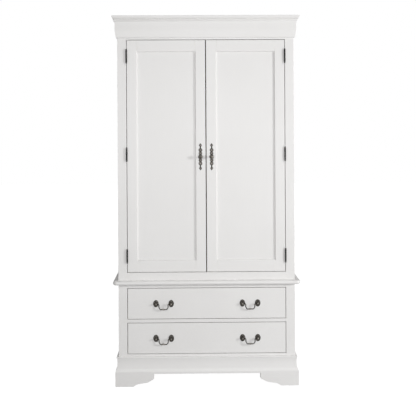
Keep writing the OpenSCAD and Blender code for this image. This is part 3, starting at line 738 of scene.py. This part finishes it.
def nail_line(casting, start, end, pitch, y):
    """Round nail heads along a line on the back panel."""
    start, end = Vector(start), Vector(end)
    count = max(1, round((end - start).length / pitch))
    for i in range(count + 1):
        x, z = start.lerp(end, i / count)
        relief(casting, (x, y, z), BEHIND, 2.4 * MM, 2.4 * MM,
               lambda s, a: 0.55 * MM * math.sqrt(max(0.05, 1 - s ** 4)), 5, 16)


def back_nails():
    """Nails that hold both back panels to the case, the shelf and the decks."""
    casting = Casting()
    pitch = 0.115
    inset = 0.0045
    for panel, shelves in (("upper_back", ("upper_deck", "hat_shelf")), ("lower_back", ("lower_deck",))):
        low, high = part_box(panel)
        for x in (low.x + inset, high.x - inset):
            nail_line(casting, (x, low.z + 0.03), (x, high.z - 0.03), pitch, high.y)
        for shelf in shelves:
            z = middle(shelf).z
            nail_line(casting, (low.x + 0.05, z), (high.x - 0.05, z), pitch, high.y)
    casting.piece("back_panel_nails", "carcass", iron)


def strike_plates():
    """Steel plates on the doors that meet the magnetic catches."""
    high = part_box("magnetic_catches")[1]
    for side, body in ((-1, "left_door"), (1, "right_door")):
        casting = Casting()
        door_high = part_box(body + "_meeting_stile")[1]
        centre = Vector((side * (high.x - 23 * MM), door_high.y, door_high.z - 10 * MM))
        relief(casting, centre, BEHIND, 15 * MM, 5.5 * MM,
               lambda s, a: 0.9 * MM * math.sqrt(max(0.3, 1 - s ** 8)), 10, 48)
        for shift in (-10 * MM, 10 * MM):
            relief(casting, centre + Vector((shift, 0.6 * MM, 0)), BEHIND, 2.6 * MM, 2.6 * MM,
                   screw_face(0.9 * MM, 2.6 * MM), 10, 32)
        casting.piece(body + "_strike_plate", body, steel)


def socket_screws():
    """Three screws in the flange of each rod socket."""
    low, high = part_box("rod_sockets")
    centre = (low + high) / 2
    casting = Casting()
    for side in (-1, 1):
        face_x = side * (high.x - 4 * MM)
        for k in range(3):
            a = math.radians(90 + 120 * k)
            place = (face_x, centre.y + 20.5 * MM * math.cos(a), centre.z + 20.5 * MM * math.sin(a))
            relief(casting, place, (-side, 0, 0), 2.8 * MM, 2.8 * MM, screw_face(1.1 * MM, 2.8 * MM), 10, 32)
    casting.piece("rod_socket_screws", "carcass", steel)


# ---------------------------------------------------------------- stage, light and camera

FLOOR_HALF = 14
FLOOR_GLOW = 1.35
FLOOR_GLOW_SHARE = 0.74


def glow_for_camera(f):
    """Lets the camera see a material mostly as white glow, which lights nothing."""
    tree = f.material.node_tree
    out = next(n for n in tree.nodes if n.type == "OUTPUT_MATERIAL")
    matt = out.inputs["Surface"].links[0].from_socket
    glow = tree.nodes.new("ShaderNodeEmission")
    glow.inputs["Color"].default_value = (1.0, 1.0, 1.0, 1.0)
    glow.inputs["Strength"].default_value = FLOOR_GLOW
    seen = tree.nodes.new("ShaderNodeLightPath")
    share = tree.nodes.new("ShaderNodeMath")
    share.operation = "MULTIPLY"
    share.inputs[1].default_value = FLOOR_GLOW_SHARE
    mix = tree.nodes.new("ShaderNodeMixShader")
    tree.links.new(seen.outputs["Is Camera Ray"], share.inputs[0])
    tree.links.new(share.outputs[0], mix.inputs["Fac"])
    tree.links.new(matt, mix.inputs[1])
    tree.links.new(glow.outputs["Emission"], mix.inputs[2])
    tree.links.new(mix.outputs["Shader"], out.inputs["Surface"])


def stage_floor():
    """A matt floor that takes only a faint shadow, so it merges with the white surround."""
    bm = bmesh.new()
    bmesh.ops.create_grid(bm, x_segments=8, y_segments=8, size=FLOOR_HALF)
    mesh = bpy.data.meshes.new("studio_floor")
    bm.to_mesh(mesh)
    bm.free()
    f = Finish("floor_white")
    cloud = f.noise(f.place, scale=0.8, detail=2)
    f.set(Base_Color=f.ramp(cloud, (0.3, (0.52, 0.52, 0.52)), (0.7, (0.56, 0.56, 0.56))), Roughness=0.9)
    glow_for_camera(f)
    mesh.materials.append(f.material)
    floor = bpy.data.objects.new("studio_floor", mesh)
    bpy.context.scene.collection.objects.link(floor)


WORLD_LIGHT = 0.33


def studio_world(strength):
    """An even white surround, which the camera sees as plain white."""
    world = bpy.data.worlds.new("studio")
    bpy.context.scene.world = world
    world.use_nodes = True
    tree = world.node_tree
    tree.nodes.clear()
    out = tree.nodes.new("ShaderNodeOutputWorld")
    mix = tree.nodes.new("ShaderNodeMixShader")
    seen = tree.nodes.new("ShaderNodeLightPath")
    lit = tree.nodes.new("ShaderNodeBackground")
    shown = tree.nodes.new("ShaderNodeBackground")
    lit.inputs["Color"].default_value = (1.0, 0.995, 0.985, 1.0)
    lit.inputs["Strength"].default_value = strength
    shown.inputs["Color"].default_value = (1.0, 1.0, 1.0, 1.0)
    tree.links.new(seen.outputs["Is Camera Ray"], mix.inputs["Fac"])
    tree.links.new(lit.outputs["Background"], mix.inputs[1])
    tree.links.new(shown.outputs["Background"], mix.inputs[2])
    tree.links.new(mix.outputs["Shader"], out.inputs["Surface"])


def soft_box(name, place, target, width, height, power):
    light = bpy.data.lights.new(name, "AREA")
    light.shape = "RECTANGLE"
    light.size = width
    light.size_y = height
    light.energy = power
    lamp = bpy.data.objects.new(name, light)
    bpy.context.scene.collection.objects.link(lamp)
    lamp.location = place
    lamp.rotation_euler = (Vector(target) - Vector(place)).to_track_quat("-Z", "Y").to_euler()


KEY_ANGLE = math.radians(62)
KEY_RISE = 0.09
KEY_DISTANCE = 4.2
KEY_SIZE = 0.7
KEY_POWER = 90
FILL_PLACE = Vector((-0.3, -3.2, 0.25))
FILL_AIM = Vector((0, 0, -0.15))
FILL_W, FILL_H = 2.2, 1.6
FILL_POWER = 38


def studio_lights():
    """A small key light low on the right, and a broad fill in front."""
    target = Vector((0.0, cad_box[0].y, 1.25))
    key = target + Vector((math.sin(KEY_ANGLE), -math.cos(KEY_ANGLE), KEY_RISE)) * KEY_DISTANCE
    soft_box("key_light", key, target, KEY_SIZE, KEY_SIZE, KEY_POWER)
    soft_box("fill_light", target + FILL_PLACE, target + FILL_AIM, FILL_W, FILL_H, FILL_POWER)


def studio_camera():
    """A little above the doors' handles, and a little left of the middle."""
    camera = bpy.data.cameras.new("camera")
    camera.sensor_width = 36.0
    camera.lens = 57.4
    camera.shift_x = 0.0287
    camera.shift_y = -0.180
    made = bpy.data.objects.new("camera", camera)
    bpy.context.scene.collection.objects.link(made)
    made.location = (-0.093, cad_box[0].y - 3.574, 1.371)
    made.rotation_euler = Euler((math.radians(90), math.radians(0.30), math.radians(-0.626)), "XYZ")
    bpy.context.scene.camera = made


# ---------------------------------------------------------------- the whole scene

def build():
    finish_nodes()
    for side in ("left", "right"):
        door = side + "_door"
        plate, door_knob = middle(door + "_backplate"), middle(door + "_knob")
        backplate(door, plate.x, plate.z)
        knob(door, door_knob.x, door_knob.z)
    for level in ("upper", "lower"):
        drawer = level + "_drawer"
        front_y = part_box(drawer + "_front")[0].y
        low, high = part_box(drawer + "_rosettes")
        pull_x = high.x - ROSETTE_HALF_W - POST_HALF * MM
        middle_z = (low.z + high.z) / 2
        rosettes(drawer, (-pull_x, pull_x), front_y, middle_z)
        for side, x in (("left", -pull_x), ("right", pull_x)):
            pull = f"{level}_{side}"
            bail(pull + "_swan_neck_bail", pull + "_pull", pull + "_bail", x, front_y, middle_z)
    hinge_screws()
    back_nails()
    strike_plates()
    socket_screws()


bpy.context.scene.view_settings.view_transform = "Standard"
build()
stage_floor()
studio_world(WORLD_LIGHT)
studio_lights()
studio_camera()
